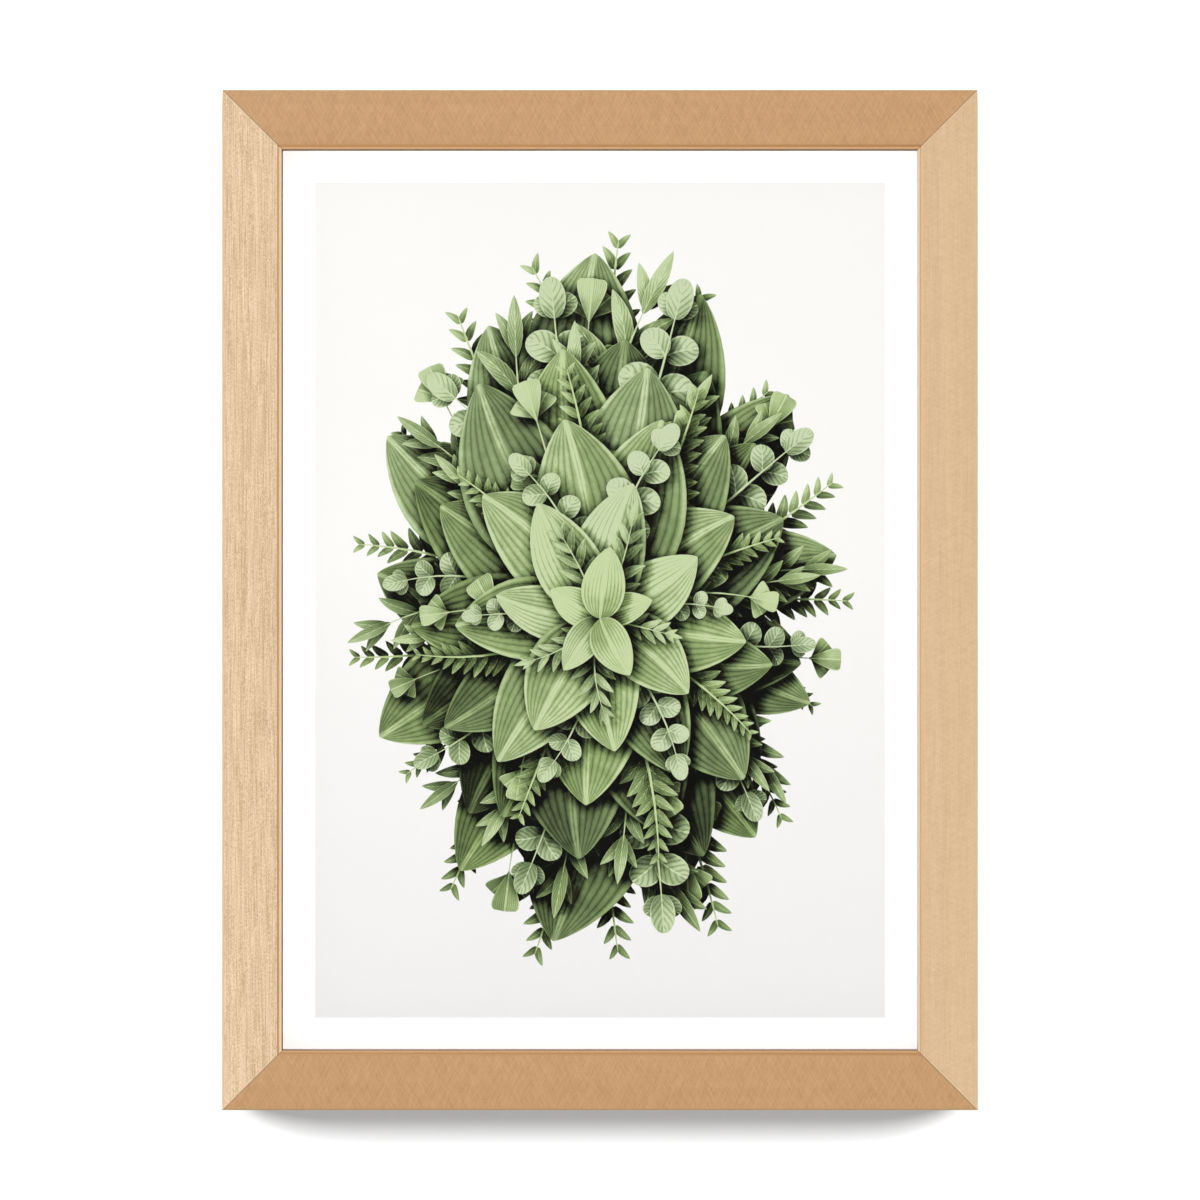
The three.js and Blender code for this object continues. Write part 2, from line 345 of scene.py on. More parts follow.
def wood(name, along, mean, spread, tint, line_stain_and_light, joint_line_and_highlight, sight, amounts, shift):
    """One length's wood: lacquer gathers on its eased edge and in its line, with painted light and shade
    at its line, bead, mitre and sight edge.
    """
    material, shader, surface, place = new_material(name, Specular_IOR_Level=0.35)
    turn = math.pi / 2 if along == "x" else 0
    moved = shader.moved(place, turn=(0, turn, 0), shift=(shift, 0.4 * shift, 0.7 * shift))
    grain = grouped(
        shader, "Wood grain", Place=moved, Pale=shaded(mean, 1 + spread), Deep=shaded(mean, 1 - spread),
        Pore=shaded(mean, 0.62), **amounts,
    )
    parts = shader.split(place)
    from_side = shader.minus(half_width, shader.apart(parts["X"], middle.x))
    from_top = shader.minus(half_height, shader.apart(parts["Z"], middle.z))
    inward, from_end = (from_top, from_side) if along == "x" else (from_side, from_top)
    behind = shader.minus(parts["Y"], front)
    facing = shader.ramp(behind, *FACE_BAND, 1, 0)
    bead_start = moulding_width - BEAD_WIDTH
    line = shader.apart(inward, bead_start - GROOVE_WIDTH / 2)
    # The bead's lighter colour is a painted highlight
    painted_bead_highlight = [1.17 * part for part in mean]
    colour = grain["Colour"]
    for mask, tone in (
        (shader.ramp(inward, *RIM_BAND, 0.85, 0), tint),
        (shader.ramp(line, *LINE_BAND, 1, 0), line_stain_and_light),
        (shader.ramp(shader.minus(inward, bead_start), *BEAD_BAND, 0, 0.75), painted_bead_highlight),
        # At the mitre: a dark joint line on the rails, and a painted highlight on the stiles
        (shader.ramp(shader.apart(from_end, inward), *MITRE_BAND, 0.6, 0), joint_line_and_highlight),
    ):
        colour = shader.mix(shader.times(mask, facing), colour, tone)
    # Painted shade on the lip's inner wall at the sight edge, but painted light there on the right stile
    painted_sight_mask = shader.ramp(shader.minus(moulding_width, inward), *SIGHT_BAND, 1, 0)
    lip = shader.ramp(behind, *LIP_BAND, 1, 0)
    colour = shader.mix(shader.times(painted_sight_mask, lip), colour, sight)
    coated(shader, surface, colour, grain["Roughness"], grain["Height"], 0.04 * MM)
    return material


# The left length is pale and flecked, the right one plainer, and both rails browner and
# cross-stroked. The top rail's scribed line is painted lighter than the bottom one's, as painted
# light against the shade that falls in it. The stiles' mitre tone is a painted highlight and the
# rails' a dark joint line. The last colour is the sight edge's painted shade, painted light on the right
# stile.
pale_wood = wood(
    "Pale stile wood", "z", (0.526, 0.375, 0.226), 0.3, (0.50, 0.345, 0.195), (0.55, 0.37, 0.18),
    (0.60, 0.47, 0.33), (0.22, 0.135, 0.10),
    {"Lines": 0.52, "Flecks": 0.56, "Bands": 0.12, "Strokes": 0.08, "Pores": 0.2}, 0.31,
)
plain_wood = wood(
    "Plain stile wood", "z", (0.505, 0.3465, 0.1957), 0.2, (0.55, 0.38, 0.22), (0.54, 0.37, 0.21),
    (0.56, 0.41, 0.26), (0.50, 0.45, 0.45),
    {"Lines": 0.2, "Flecks": 0.2, "Bands": 0.1, "Strokes": 0.12, "Pores": 0.12}, 0.83,
)
top_wood, bottom_wood = (
    wood(
        name, "x", (0.397, 0.225, 0.0995), 0.2, (0.365, 0.225, 0.072), line_stain_and_light,
        (0.20, 0.11, 0.045), (0.21, 0.13, 0.08),
        {"Lines": 0.05, "Flecks": 0.16, "Bands": 0.08, "Strokes": 0.26, "Pores": 0.06}, 1.27,
    )
    # The top rail's line colour is painted light against its shade; the bottom one's is a stain
    for name, line_stain_and_light in (
        ("Top rail wood", (0.52, 0.285, 0.115)), ("Bottom rail wood", (0.39, 0.216, 0.093)),
    )
)
sides = [  # each is turned from the top's place to its own, round the middle of the picture
    ("top_rail", "rail_top", half_width, half_height, 0, top_wood, "rail_wood"),
    ("bottom_rail", "rail_bottom", half_width, half_height, math.pi, bottom_wood, "rail_wood"),
    ("right_stile", "stile_right", half_height, half_width, math.pi / 2, plain_wood, "stile_wood"),
    ("left_stile", "stile_left", half_height, half_width, -math.pi / 2, pale_wood, "stile_wood"),
]
for name, node, half_length, outer, turn, material, slot in sides:
    length = moulding_length(half_length, outer)
    place = Matrix.Translation(middle) @ Matrix.Rotation(turn, 4, "Y")
    bmesh.ops.transform(length, matrix=place, verts=length.verts[:])
    finished(length, name, node, material)


# The pane
# A sheet of clear 2 mm picture glass with ground edges, loose in the rabbet behind the lip.
# Lamps shine through it, so it lights the print as thin glass does.
def clear_glass():
    material, shader = bare_material("Clear glass")
    smears = shader.noise(shader.place(), (16, 16, 9), 3.0)
    pane = shader.node(
        "ShaderNodeBsdfPrincipled", Base_Color=(0.985, 0.995, 0.99), IOR=1.5, Transmission_Weight=1.0,
        Roughness=shader.ramp(smears, 0.35, 0.8, 0.0, 0.035),
    )
    clear = shader.node("ShaderNodeBsdfTransparent", Color=(0.97, 0.98, 0.975))
    rays = shader.node("ShaderNodeLightPath").outputs
    lamp_rays = shader.math("MAXIMUM", rays["Is Shadow Ray"], rays["Is Diffuse Ray"])
    shader.node("ShaderNodeOutputMaterial", shader.blend(lamp_rays, pane, clear).outputs[0])
    return material


def dressed(node, material):
    """Puts a material on a piece that is shown just as its solid."""
    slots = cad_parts[node].data.materials
    slots.clear()
    slots.append(material)


dressed("glazing", clear_glass())


# The print
# Matt A4 paper with a bare white border round a pale printed ground, and an oval of mixed foliage.
# Each leaf is cut into the flat sheet by its outline, so the ink has no thickness of its own.
PRINT_WIDTH = 183.7 * MM
PRINT_HEIGHT = 269.2 * MM
FOLIAGE_HALF_WIDTH = 83 * MM
FOLIAGE_HALF_HEIGHT = 117 * MM
HEART_DROP = 6 * MM  # how far the leaves' meeting point lies below the middle
FINE_STEP = 1.7 * MM  # spacing of the points that carry the soft shade between leaves
MAP_STEP = 0.4 * MM
SHADE_REACH = 3.6 * MM
LAST_PAIR = 0.97  # how far up its stem a spray's last pair of leaves stands

sheet_low, sheet_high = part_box("print_sheet")
sheet_middle = (sheet_low + sheet_high) / 2
chance = random.Random(23)
blades = []  # the lowest leaf first


def blade(base, tip, half, swell, taper, bend, tone, hue, veins, steps):
    """Adds a leaf or stem from base to tip. Its half width follows t ** swell * (1 - t) ** taper."""
    along = tip - base
    blades.append(SimpleNamespace(
        base=base, along=along.normalized(), length=along.length, half=half, swell=swell, taper=taper,
        bend=bend * along.length / half, tone=tone, hue=hue, veins=veins, steps=steps,
    ))


def swelling(t, swell, taper):
    """Half width at t, as a share of the widest."""
    widest = swell / (swell + taper)
    peak = widest ** swell * (1 - widest) ** taper
    return t ** swell * (1 - t) ** taper / peak


def outline(b):
    """A blade's outline, anticlockwise."""
    across = Vector((-b.along.y, b.along.x))
    left, right = [], []
    for i in range(b.steps + 1):
        t = (1 - math.cos(math.pi * i / b.steps)) / 2
        spine = b.base + b.along * b.length * t
        spine += across * b.half * b.bend * 4 * t * (1 - t)
        width = b.half * swelling(t, b.swell, b.taper) if 0 < i < b.steps else 0
        right.append(spine - across * width)
        if width:
            left.append(spine + across * width)
    return right + left[::-1]


def oval(angle, reach):
    return Vector((
        FOLIAGE_HALF_WIDTH * reach * math.cos(angle),
        FOLIAGE_HALF_HEIGHT * reach * math.sin(angle) - HEART_DROP * (1 - reach),
    ))


def turned(vector, angle):
    cosine, sine = math.cos(angle), math.sin(angle)
    return Vector((vector.x * cosine - vector.y * sine, vector.x * sine + vector.y * cosine))


# Leaf pairs, a leaf's length against the spray's, its width against its length, its opening
# angle near the root and near the tip, its two outline powers, its veins, and its hue
SPRAYS = {
    "fern": (14, 0.27, 0.19, 66, 38, 0.4, 0.8, -6, 0.2),
    "willow": (5, 0.40, 0.15, 48, 28, 0.7, 0.9, -7, 0.4),
    "coin": (5, 0.23, 0.44, 76, 50, 0.5, 0.5, -5, 0.8),
    "fan": (3, 0.32, 0.42, 70, 40, 1.15, 0.2, 7, 0.3),
}


def spray(kind, root, tip, bend, tone):
    """A stem with leaves in pairs. A fern's leaves are longest low down, the others' in the middle."""
    pairs, reach, slim, wide_angle, tip_angle, swell, taper, veins, hue = SPRAYS[kind]
    if kind != "fern":
        tip = root + (tip - root) / (1 + 0.55 * reach)
    along = tip - root
    length, straight = along.length, along.normalized()
    across = Vector((-straight.y, straight.x))
    hue += chance.uniform(-0.12, 0.12)
    first = 0.16 if kind == "fern" else 0.22
    steps = 6 if kind == "fern" else 10
    for i in range(pairs):
        s = first + (LAST_PAIR - first) * i / (pairs - 1)
        spot = root + along * s + across * bend * length * 4 * s * (1 - s)
        heading = straight + across * bend * 4 * (1 - 2 * s)
        heading.normalize()
        size = 1.05 - 0.85 * s if kind == "fern" else 0.72 + 0.9 * s * (1 - s) - 0.25 * s
        if kind == "fern":
            size *= min(1, 0.55 + 1.6 * (s - first))
        opening = wide_angle + (tip_angle - wide_angle) * s
        for side in (-1, 1):
            leaf = reach * length * size * chance.uniform(0.9, 1.08)
            angle = math.radians(side * opening + chance.uniform(-6, 6))
            shade = tone + 0.10 * (s - 0.4) + chance.uniform(-0.05, 0.05) + 0.04 * side
            blade(
                spot, spot + turned(heading, angle) * leaf, slim * leaf, swell, taper,
                -0.05 * side, shade, hue, veins, steps,
            )
    if kind != "fern":
        blade(
            tip - heading * 0.05 * length, tip + heading * reach * length * 0.6,
            slim * reach * length * 0.6, swell, taper, 0, tone + 0.1, hue, veins, steps,
        )
    blade(root, tip, 0.0055 * length + 0.12 * MM, 0.02, 0.35, bend, tone + 0.22, hue - 0.2, 0, 12)


def broad_leaf(root, tip, tone, hue):
    """A large leaf whose veins run from its base to its tip beside its edges."""
    length = (tip - root).length
    blade(
        root, tip, length * chance.uniform(0.27, 0.33), 0.55, 0.8, chance.uniform(-0.07, 0.07),
        tone, hue, 6, 18,
    )


# Rings of foliage from back to front: what grows there, how many, where its roots and tips lie
# on the oval, and its tone from dark to light
RINGS = [
    ("fern", 17, 0.10, 1.00, 0.50),
    ("broad", 13, 0.40, 0.96, 0.40),
    ("fan", 7, 0.30, 0.93, 0.56),
    ("willow", 10, 0.20, 0.97, 0.50),
    ("broad", 15, 0.10, 0.80, 0.12),
    ("coin", 10, 0.25, 0.94, 0.66),
    ("willow", 8, 0.15, 0.84, 0.62),
    ("broad", 13, 0.16, 0.76, 0.38),
    ("fan", 6, 0.10, 0.70, 0.66),
    ("fern", 8, 0.06, 0.74, 0.62),
    ("broad", 9, 0.06, 0.57, 0.56),
    ("coin", 6, 0.05, 0.58, 0.76),
    ("broad", 7, 0.02, 0.41, 0.70),
    ("willow", 5, 0.00, 0.36, 0.76),
    ("broad", 5, 0.00, 0.21, 0.80),
]
for ring, (kind, count, root_reach, tip_reach, tone) in enumerate(RINGS):
    order = list(range(count))
    chance.shuffle(order)
    for i in order:
        angle = 2 * math.pi * (i + 0.37 * ring) / count + chance.uniform(-0.6, 0.6) / count
        lean = chance.uniform(-0.28, 0.28)
        root = oval(angle + lean, root_reach)
        tip = oval(angle, tip_reach * chance.uniform(0.88, 1.02))
        light = tone + 0.13 * tip.y / FOLIAGE_HALF_HEIGHT + chance.uniform(-0.07, 0.07)
        if kind == "broad":
            broad_leaf(root, tip, light, chance.uniform(0.15, 0.6))
        else:
            spray(kind, root, tip, chance.uniform(-0.09, 0.09), light)

# The topmost blade at each spot of a fine map, from which each leaf is shaded by those above it
columns = int(PRINT_WIDTH / MAP_STEP) + 1
rows = int(PRINT_HEIGHT / MAP_STEP) + 1
grid_x = (numpy.arange(columns) + 0.5) * MAP_STEP - PRINT_WIDTH / 2
grid_z = (numpy.arange(rows) + 0.5) * MAP_STEP - PRINT_HEIGHT / 2
topmost = numpy.zeros((rows, columns), dtype=int)
for number, b in enumerate(blades, start=2):
    points = outline(b)
    xs, zs = [p.x for p in points], [p.y for p in points]
    part = (
        slice(*numpy.searchsorted(grid_z, (min(zs), max(zs)))),
        slice(*numpy.searchsorted(grid_x, (min(xs), max(xs)))),
    )
    dz, dx = numpy.meshgrid(grid_z[part[0]] - b.base.y, grid_x[part[1]] - b.base.x, indexing="ij")
    p = numpy.clip((dx * b.along.x + dz * b.along.y) / b.length, 0, 1)
    q = (dz * b.along.x - dx * b.along.y) / b.half - b.bend * 4 * p * (1 - p)
    topmost[part][numpy.abs(q) < swelling(p, b.swell, b.taper)] = number

# The sheet, its ground and every outline as loops, with loose points between the leaves
corners = [(-1, -1), (1, -1), (1, 1), (-1, 1)]
half_sheet = Vector((sheet_high.x - sheet_low.x, sheet_high.z - sheet_low.z)) / 2
loops = [
    [Vector((x * half_sheet.x, z * half_sheet.y)) for x, z in corners],
    [Vector((x * PRINT_WIDTH / 2, z * PRINT_HEIGHT / 2)) for x, z in corners],
]
loops += [outline(b) for b in blades]
points, faces = [], []
for loop in loops:
    faces.append(list(range(len(points), len(points) + len(loop))))
    points += loop
last_row = int(FOLIAGE_HALF_HEIGHT / FINE_STEP)
last_column = int(FOLIAGE_HALF_WIDTH / FINE_STEP)
for row in range(-last_row, last_row + 1):
    for column in range(-last_column, last_column + 1):
        x, z = (column + 0.5 * (row % 2)) * FINE_STEP, row * FINE_STEP
        if math.hypot(x / FOLIAGE_HALF_WIDTH, z / FOLIAGE_HALF_HEIGHT) < 0.97:
            points.append(Vector((x + chance.uniform(-0.1, 0.1) * MM, z + chance.uniform(-0.1, 0.1) * MM)))
cut_points, _, triangles, _, _, owners = delaunay_2d_cdt(points, [], faces, 1, 1e-7)

tops = numpy.array([max(owner) for owner in owners])
places = numpy.array([(p.x, p.y) for p in cut_points])
corner_points = numpy.array(triangles).ravel()
corner_tops = numpy.repeat(tops, 3)
x, z = places[corner_points].T

SAMPLE_RINGS = [(0.45, 7), (0.8, 9), (1.15, 11)]
LIGHT_SIDE = (-1.1 * MM, 1.3 * MM)
covered = numpy.zeros(len(x))
for reach, count in SAMPLE_RINGS:
    for i in range(count):
        angle = 2 * math.pi * i / count + reach
        near_x = x + LIGHT_SIDE[0] + SHADE_REACH * reach * math.cos(angle)
        near_z = z + LIGHT_SIDE[1] + SHADE_REACH * reach * math.sin(angle)
        column = numpy.clip(((near_x + PRINT_WIDTH / 2) / MAP_STEP).astype(int), 0, columns - 1)
        row = numpy.clip(((near_z + PRINT_HEIGHT / 2) / MAP_STEP).astype(int), 0, rows - 1)
        covered += topmost[row, column] > corner_tops
shade = numpy.where(corner_tops > 1, covered / sum(count for _, count in SAMPLE_RINGS), 0)


def per_blade(measure, bare=0):
    """This measure of each corner's blade, and a plain one on the border and the ground."""
    table = numpy.array([bare, bare] + [getattr(b, measure) for b in blades], dtype=float)
    return table[corner_tops]


base_x, base_z = per_blade("base", (0, 0)).T
along_x, along_z = per_blade("along", (1, 0)).T
on_blade = numpy.stack([
    ((x - base_x) * along_x + (z - base_z) * along_z) / per_blade("length", 1),
    ((z - base_z) * along_x - (x - base_x) * along_z) / per_blade("half", 1),
], axis=1)
on_sheet = numpy.stack([x / (2 * half_sheet.x) + 0.5, z / (2 * half_sheet.y) + 0.5], axis=1)
layers = numpy.minimum(corner_tops, 2)  # 0 on the border, 1 on the ground, 2 on a blade
look = numpy.stack([per_blade("tone"), per_blade("hue"), shade, layers], axis=1)
form = numpy.stack([
    per_blade("swell", 1), per_blade("taper", 1), per_blade("bend"), per_blade("veins"),
], axis=1)

paper_data = bpy.data.meshes.new("printed_sheet")
paper_data.from_pydata(
    [(p.x + sheet_middle.x, sheet_low.y, p.y + sheet_middle.z) for p in cut_points], [], triangles,
)
for name, values in (("Blade", on_blade), ("OFBake", on_sheet)):
    layer = paper_data.uv_layers.new(name=name)
    layer.data.foreach_set("uv", values.ravel())
for name, values in (("Look", look), ("Form", form)):
    layer = paper_data.color_attributes.new(name, "FLOAT_COLOR", "CORNER")
    layer.data.foreach_set("color", values.ravel())
paper = bmesh.new()
paper.from_mesh(paper_data)
rim = [e for e in paper.edges if e.is_boundary]
back_rim = bmesh.ops.extrude_edge_only(paper, edges=rim)["geom"]
back_points = [v for v in back_rim if isinstance(v, bmesh.types.BMVert)]
bmesh.ops.translate(paper, verts=back_points, vec=(0, sheet_high.y - sheet_low.y, 0))
bmesh.ops.holes_fill(paper, edges=[e for e in back_rim if isinstance(e, bmesh.types.BMEdge)])


def ink():
    """The printed colours: ground and border, and on each leaf its veins, edge light and shade."""
    material, shader, surface, place = new_material("Printed paper", Specular_IOR_Level=0.04)
    marks = shader.split(shader.node("ShaderNodeUVMap", settings={"uv_map": "Blade"}).outputs[0])

    def kept(name):
        """The four measures kept in an attribute of the sheet's corners."""
        held = shader.node("ShaderNodeAttribute", settings={"attribute_name": name}).outputs
        return *shader.split(held["Vector"]), held["Alpha"]

    tone, hue, shade, layer = kept("Look")
    swell, taper, bend, veins = kept("Form")

    t = shader.math("MINIMUM", shader.math("MAXIMUM", marks["X"], 0.001), 0.999)
    rest = shader.minus(1.0, t)
    arch = shader.times(shader.times(t, rest), 4.0)
    off = shader.minus(marks["Y"], shader.times(bend, arch))
    widest = shader.math("DIVIDE", swell, shader.plus(swell, taper))

    def powers(value, other):
        return shader.times(shader.math("POWER", value, swell), shader.math("POWER", other, taper))

    width = shader.math("DIVIDE", powers(t, rest), powers(widest, shader.minus(1.0, widest)))
    side = shader.math("DIVIDE", off, shader.math("MAXIMUM", width, 0.02))
    apart = shader.math("MINIMUM", shader.math("ABSOLUTE", side), 1.0)

    def ribs(phase):
        """Soft swelling between veins, and a fine line on each vein."""
        wave = shader.math("COSINE", shader.times(phase, 2 * math.pi))
        return wave, shader.ramp(wave, 0.72, 0.99)

    streaks = shader.noise(place, (520, 520, 520), 3.0, 0.6)
    drift = shader.times(shader.minus(streaks, 0.5), 0.25)
    length_wise = shader.times(apart, shader.math("MAXIMUM", veins, 0.0))
    wave_a, line_a = ribs(shader.plus(length_wise, drift))
    slant = shader.math("MULTIPLY_ADD", apart, -0.42, shader.plus(t, shader.times(drift, 0.1)))
    wave_b, line_b = ribs(shader.times(slant, shader.math("MAXIMUM", shader.times(veins, -1.0), 0.0)))
    parallel = shader.math("GREATER_THAN", veins, 0.5)
    feathered = shader.math("LESS_THAN", veins, -0.5)
    wave = shader.plus(shader.times(wave_a, parallel), shader.times(wave_b, feathered))
    line = shader.plus(shader.times(line_a, parallel), shader.times(line_b, feathered))
    line = shader.times(line, shader.ramp(apart, 0.92, 0.8))
    rib = shader.ramp(shader.math("ABSOLUTE", off), 0.03, 0.075, 1, 0)
    rim = shader.ramp(apart, 0.84, 0.97)
    light_half = shader.ramp(side, -0.35, 0.35)

    patches = shader.noise(place, (170, 170, 170), 3.0, 0.55)
    level = shader.minus(tone, 0.095)
    for amount, mark in (
        (0.27, shader.ramp(t, 0.0, 0.75)), (0.11, light_half), (-0.06, wave), (-0.13, line),
        (0.30, shader.minus(patches, 0.5)), (0.16, shader.minus(streaks, 0.5)),
        (0.20, rim), (0.26, rib), (-0.82, shader.ramp(shade, 0.02, 0.82)),
    ):
        level = shader.math("MULTIPLY_ADD", mark, amount, level)

    def greens(stops):
        ramp = shader.node("ShaderNodeValToRGB", Fac=level)
        elements = ramp.color_ramp.elements
        while len(elements) < len(stops):
            elements.new(0.5)
        for element, (spot, colour) in zip(elements, stops):
            element.position, element.color = spot, (*colour, 1)
        return ramp.outputs["Color"]

    fresh = greens([
        (0.0, (0.002, 0.0022, 0.0012)), (0.18, (0.016, 0.0195, 0.0075)), (0.38, (0.055, 0.078, 0.026)),
        (0.58, (0.13, 0.185, 0.062)), (0.8, (0.245, 0.325, 0.122)), (1.0, (0.45, 0.535, 0.28)),
    ])
    dusty = greens([
        (0.0, (0.002, 0.0022, 0.0015)), (0.18, (0.016, 0.019, 0.0105)), (0.38, (0.055, 0.073, 0.037)),
        (0.58, (0.13, 0.17, 0.085)), (0.8, (0.255, 0.32, 0.175)), (1.0, (0.47, 0.535, 0.355)),
    ])
    green = shader.mix(hue, fresh, dusty)

    parts = shader.split(place)
    height = shader.ramp(parts["Z"], middle.z - 134 * MM, middle.z + 20 * MM, smooth=False)
    ground = shader.mix(height, (0.684, 0.664, 0.666), (0.776, 0.753, 0.742))
    cloud = shader.noise(place, (11, 11, 8))
    ground = shader.mix(shader.ramp(cloud, 0.3, 0.7, 0, 0.12), ground, (0.735, 0.715, 0.70))
    right = shader.ramp(parts["X"], middle.x - 90 * MM, middle.x + 90 * MM, 0, 0.14, smooth=False)
    ground = shader.mix(right, ground, (0.62, 0.61, 0.60))
    bare = shader.mix(shader.math("GREATER_THAN", layer, 0.5), (0.92, 0.92, 0.92), ground)
    colour = shader.mix(shader.math("GREATER_THAN", layer, 1.5), bare, green)
    tooth = shader.noise(place, (5200, 5200, 5200))
    coated(shader, surface, colour, 0.62, tooth, 0.01 * MM, 0.35)
    return material


finished(paper, "printed_sheet", "print_sheet", ink())


# The filler card
# Plain corrugated card, cut to the pane's size, that packs the print against the glass.
# It is shut in between the print and the board.
def card():
    material, shader, surface, place = new_material("Grey card")
    pulp = shader.noise(place, (900, 900, 900), 4.0, 0.6)
    flutes = shader.noise(place, (260, 1, 3), 1.0)
    tone = shader.math("MULTIPLY_ADD", flutes, 0.3, shader.times(pulp, 0.7))
    colour = shader.mix(tone, (0.34, 0.26, 0.17), (0.5, 0.4, 0.28))
    coated(shader, surface, colour, 0.9, tone, 0.06 * MM)
    return material


dressed("filler_card", card())


# The backing board
# 3 mm pressed hardboard, smooth on the outside, sawn to size with its edges just broken.
# It lies loose in the rabbet, flush with the back of the wood, under the turn buttons.
def hardboard():
    material, shader, surface, place = new_material("Hardboard", Specular_IOR_Level=0.2)
    clouds = shader.noise(place, (60, 60, 80), 5.0, 0.65)
    fibres = shader.noise(place, (900, 900, 1500), 4.0, 0.7)
    flakes = shader.ramp(shader.noise(place, (650, 650, 900), 2.0, 0.6), 0.6, 0.72)
    base = shader.mix(shader.ramp(clouds, 0.2, 0.8), (0.16, 0.088, 0.045), (0.2, 0.113, 0.059))
    base = shader.mix(shader.ramp(fibres, 0.35, 0.75, 0, 0.7), base, (0.105, 0.052, 0.025))
    base = shader.mix(shader.times(flakes, 0.4), base, (0.31, 0.2, 0.115))
    roughness = shader.ramp(fibres, 0.3, 0.7, 0.56, 0.78)
    coated(shader, surface, base, roughness, fibres, 0.05 * MM)
    return material


BOARD_ARRIS = 0.2 * MM
board_low, board_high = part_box("backing_board")
board = bmesh.new()
bmesh.ops.create_cube(board, size=1)
bmesh.ops.scale(board, vec=board_high - board_low, verts=board.verts[:])
bmesh.ops.translate(board, vec=(board_low + board_high) / 2, verts=board.verts[:])
bevelled(board, board.edges[:], BOARD_ARRIS, 2)
finished(board, "hardboard_back", "backing_board", hardboard())


# The corner nails
# V-shaped strips of zinc-plated steel, one driven into the back of each mitre.
# Their upper edge is left just proud of the wood.
def metal_group():
    """Rolled or plated metal: faint drawn lines, cloudy plating and a few fine scratches."""
    shader, given, output = new_group(
        "Worked metal",
        [("Place", "vector"), ("Bright", "colour"), ("Dull", "colour"), ("Gloss", "value")],
        [("Colour", "colour"), ("Roughness", "value"), ("Height", "value")],
    )
    place = given["Place"]
    drawn = shader.noise(place, (260, 260, 5200), 2.0, 0.6)
    clouds = shader.noise(place, (420, 420, 420), 4.0, 0.6)
    scratches = shader.ramp(shader.noise(place, (2600, 300, 180)), 0.66, 0.72)
    wear = shader.math("MULTIPLY_ADD", drawn, 0.35, shader.times(clouds, 0.65))
    dulled = shader.ramp(wear, 0.35, 0.65)
    rough = shader.math("MULTIPLY_ADD", wear, 0.22, given["Gloss"])
    shader.feed(
        output, Colour=shader.mix(dulled, given["Bright"], given["Dull"]),
        Roughness=shader.math("MULTIPLY_ADD", scratches, 0.1, rough),
        Height=shader.minus(shader.times(drawn, 0.4), scratches),
    )


metal_group()


def plated(name, bright, dull, gloss):
    material, shader, surface, place = new_material(name, Metallic=1.0)
    worked = grouped(shader, "Worked metal", Place=place, Bright=bright, Dull=dull, Gloss=gloss)
    coated(shader, surface, worked["Colour"], worked["Roughness"], worked["Height"], 0.01 * MM)
    return material


NAIL_PROUD = 0.06 * MM
NAIL_WALL = 0.8 * MM
NAIL_ARRIS = 0.12 * MM
zinc = plated("Bright zinc", (0.66, 0.67, 0.68), (0.5, 0.5, 0.5), 0.18)
for place, right, up in (
    ("top_left", -1, 1), ("top_right", 1, 1), ("bottom_left", -1, -1), ("bottom_right", 1, -1),
):
    low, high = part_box("corner_nail_" + place)
    corner = Vector((high.x if right > 0 else low.x, low.y, high.z if up > 0 else low.z))
    leg = high.x - low.x
    angle = [(0, 0), (leg, 0), (leg, NAIL_WALL), (NAIL_WALL, NAIL_WALL), (NAIL_WALL, leg), (0, leg)]
    nail = bmesh.new()
    foot = nail.faces.new([nail.verts.new(corner - Vector((right * x, 0, up * z))) for x, z in angle])
    pulled(nail, [foot], (0, back + NAIL_PROUD - low.y, 0))
    bevelled(nail, nail.edges[:], NAIL_ARRIS, 2)
    finished(nail, "v_nail_" + place, "corner_nail_" + place, zinc)


# The turn buttons
# Tapered tabs stamped from 1 mm steel, rounded at both ends and zinc plated.
# Each is held by its screw and swivels over the board or back along the stile.
BUTTON_ROOT = 4.5 * MM
BUTTON_TIP = 2.6 * MM
BUTTON_HOLE = 1.55 * MM
BUTTON_ARRIS = 0.22 * MM
BUTTON_SIDES = 40
BUTTON_PLACES = ("left_upper", "left_lower", "right_upper", "right_lower")
button_steel = plated("Button zinc", (0.62, 0.62, 0.6), (0.44, 0.44, 0.42), 0.26)
for place in BUTTON_PLACES:
    low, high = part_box("turn_button_" + place)
    tip_side = 1 if place.startswith("left") else -1
    pivot_x = (low.x if tip_side > 0 else high.x) + tip_side * BUTTON_ROOT
    pivot = Vector((pivot_x, low.y, (low.z + high.z) / 2))
    run = high.x - low.x - BUTTON_ROOT - BUTTON_TIP
    button = bmesh.new()
    upright = Matrix.Rotation(math.pi / 2, 4, "X")
    rims = []
    for radius in (BUTTON_ROOT, BUTTON_HOLE):
        made = bmesh.ops.create_circle(button, segments=BUTTON_SIDES, radius=radius, matrix=upright)
        rims += list({e for v in made["verts"] for e in v.link_edges})
    for v in button.verts:
        if v.co.length > 1.5 * BUTTON_HOLE and v.co.x * tip_side > 0.2 * BUTTON_ROOT:
            v.co *= BUTTON_TIP / BUTTON_ROOT
            v.co.x += tip_side * run
    bmesh.ops.translate(button, verts=button.verts[:], vec=pivot)
    bmesh.ops.bridge_loops(button, edges=rims)
    pulled(button, button.faces[:], (0, high.y - low.y, 0))
    level = [e for e in button.edges if abs(e.verts[0].co.y - e.verts[1].co.y) < 1e-6]
    bevelled(button, [e for e in level if e.calc_face_angle(0) > 1], BUTTON_ARRIS, 3)
    finished(
        button, "turn_tab_" + place, "turn_button_" + place, button_steel,
        body="button_" + place,
    )


